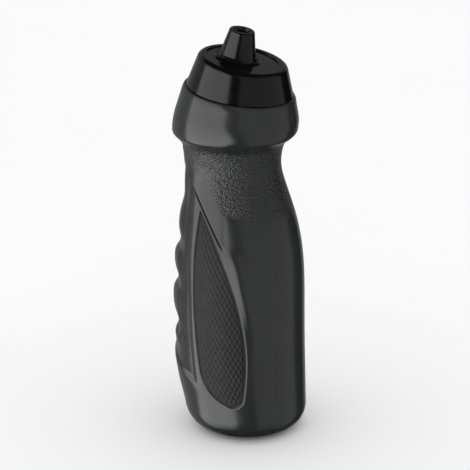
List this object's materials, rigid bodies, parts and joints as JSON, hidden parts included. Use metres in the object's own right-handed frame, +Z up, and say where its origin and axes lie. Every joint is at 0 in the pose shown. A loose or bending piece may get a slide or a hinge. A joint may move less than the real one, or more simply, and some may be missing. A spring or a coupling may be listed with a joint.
{
  "type": "sports squeeze bottle",
  "caption": "Soft squeeze bottle with finger grooves and leaf-shaped side grips, a leaning screw cap and a push-pull drinking spout.",
  "frame": {"origin": "middle of the overall footprint, at the height the base stands on", "axes": "+Z up, -X towards the finger grooves, +X towards the palm; the cap and spout lean towards +X"},
  "size_m": [0.0776, 0.0743, 0.2343],
  "materials": {
    "bottle_plastic": "gloss, charcoal",
    "cap_plastic": "gloss, black",
    "seal_rubber": "matt, pale grey",
    "spout_plastic": "gloss, black"
  },
  "bodies": {
    "bottle": {"bottle_body": "bottle_plastic"},
    "seal": {"cap_seal_ring": "seal_rubber"},
    "cap": {"screw_cap": "cap_plastic"},
    "mouthpiece": {"spout": "spout_plastic"}
  },
  "joints": [
    {"name": "cap_lift", "type": "slide", "parent": "bottle", "child": "seal", "axis": [0.1305, 0, 0.9914], "range_m": [0, 0.01405]},
    {"name": "cap_turn", "type": "hinge", "parent": "seal", "child": "cap", "pos_m": [-0.0009, 0, 0.1992], "axis": [0.1305, 0, 0.9914], "range_deg": [0, 1008]},
    {"name": "spout_pull", "type": "slide", "parent": "cap", "child": "mouthpiece", "axis": [0.1857, 0, 0.9826], "range_m": [0, 0.006]}
  ],
  "couplings": [
    {"joint": "cap_lift", "follows": "cap_turn", "m_per_rad": 0.00079577}
  ]
}
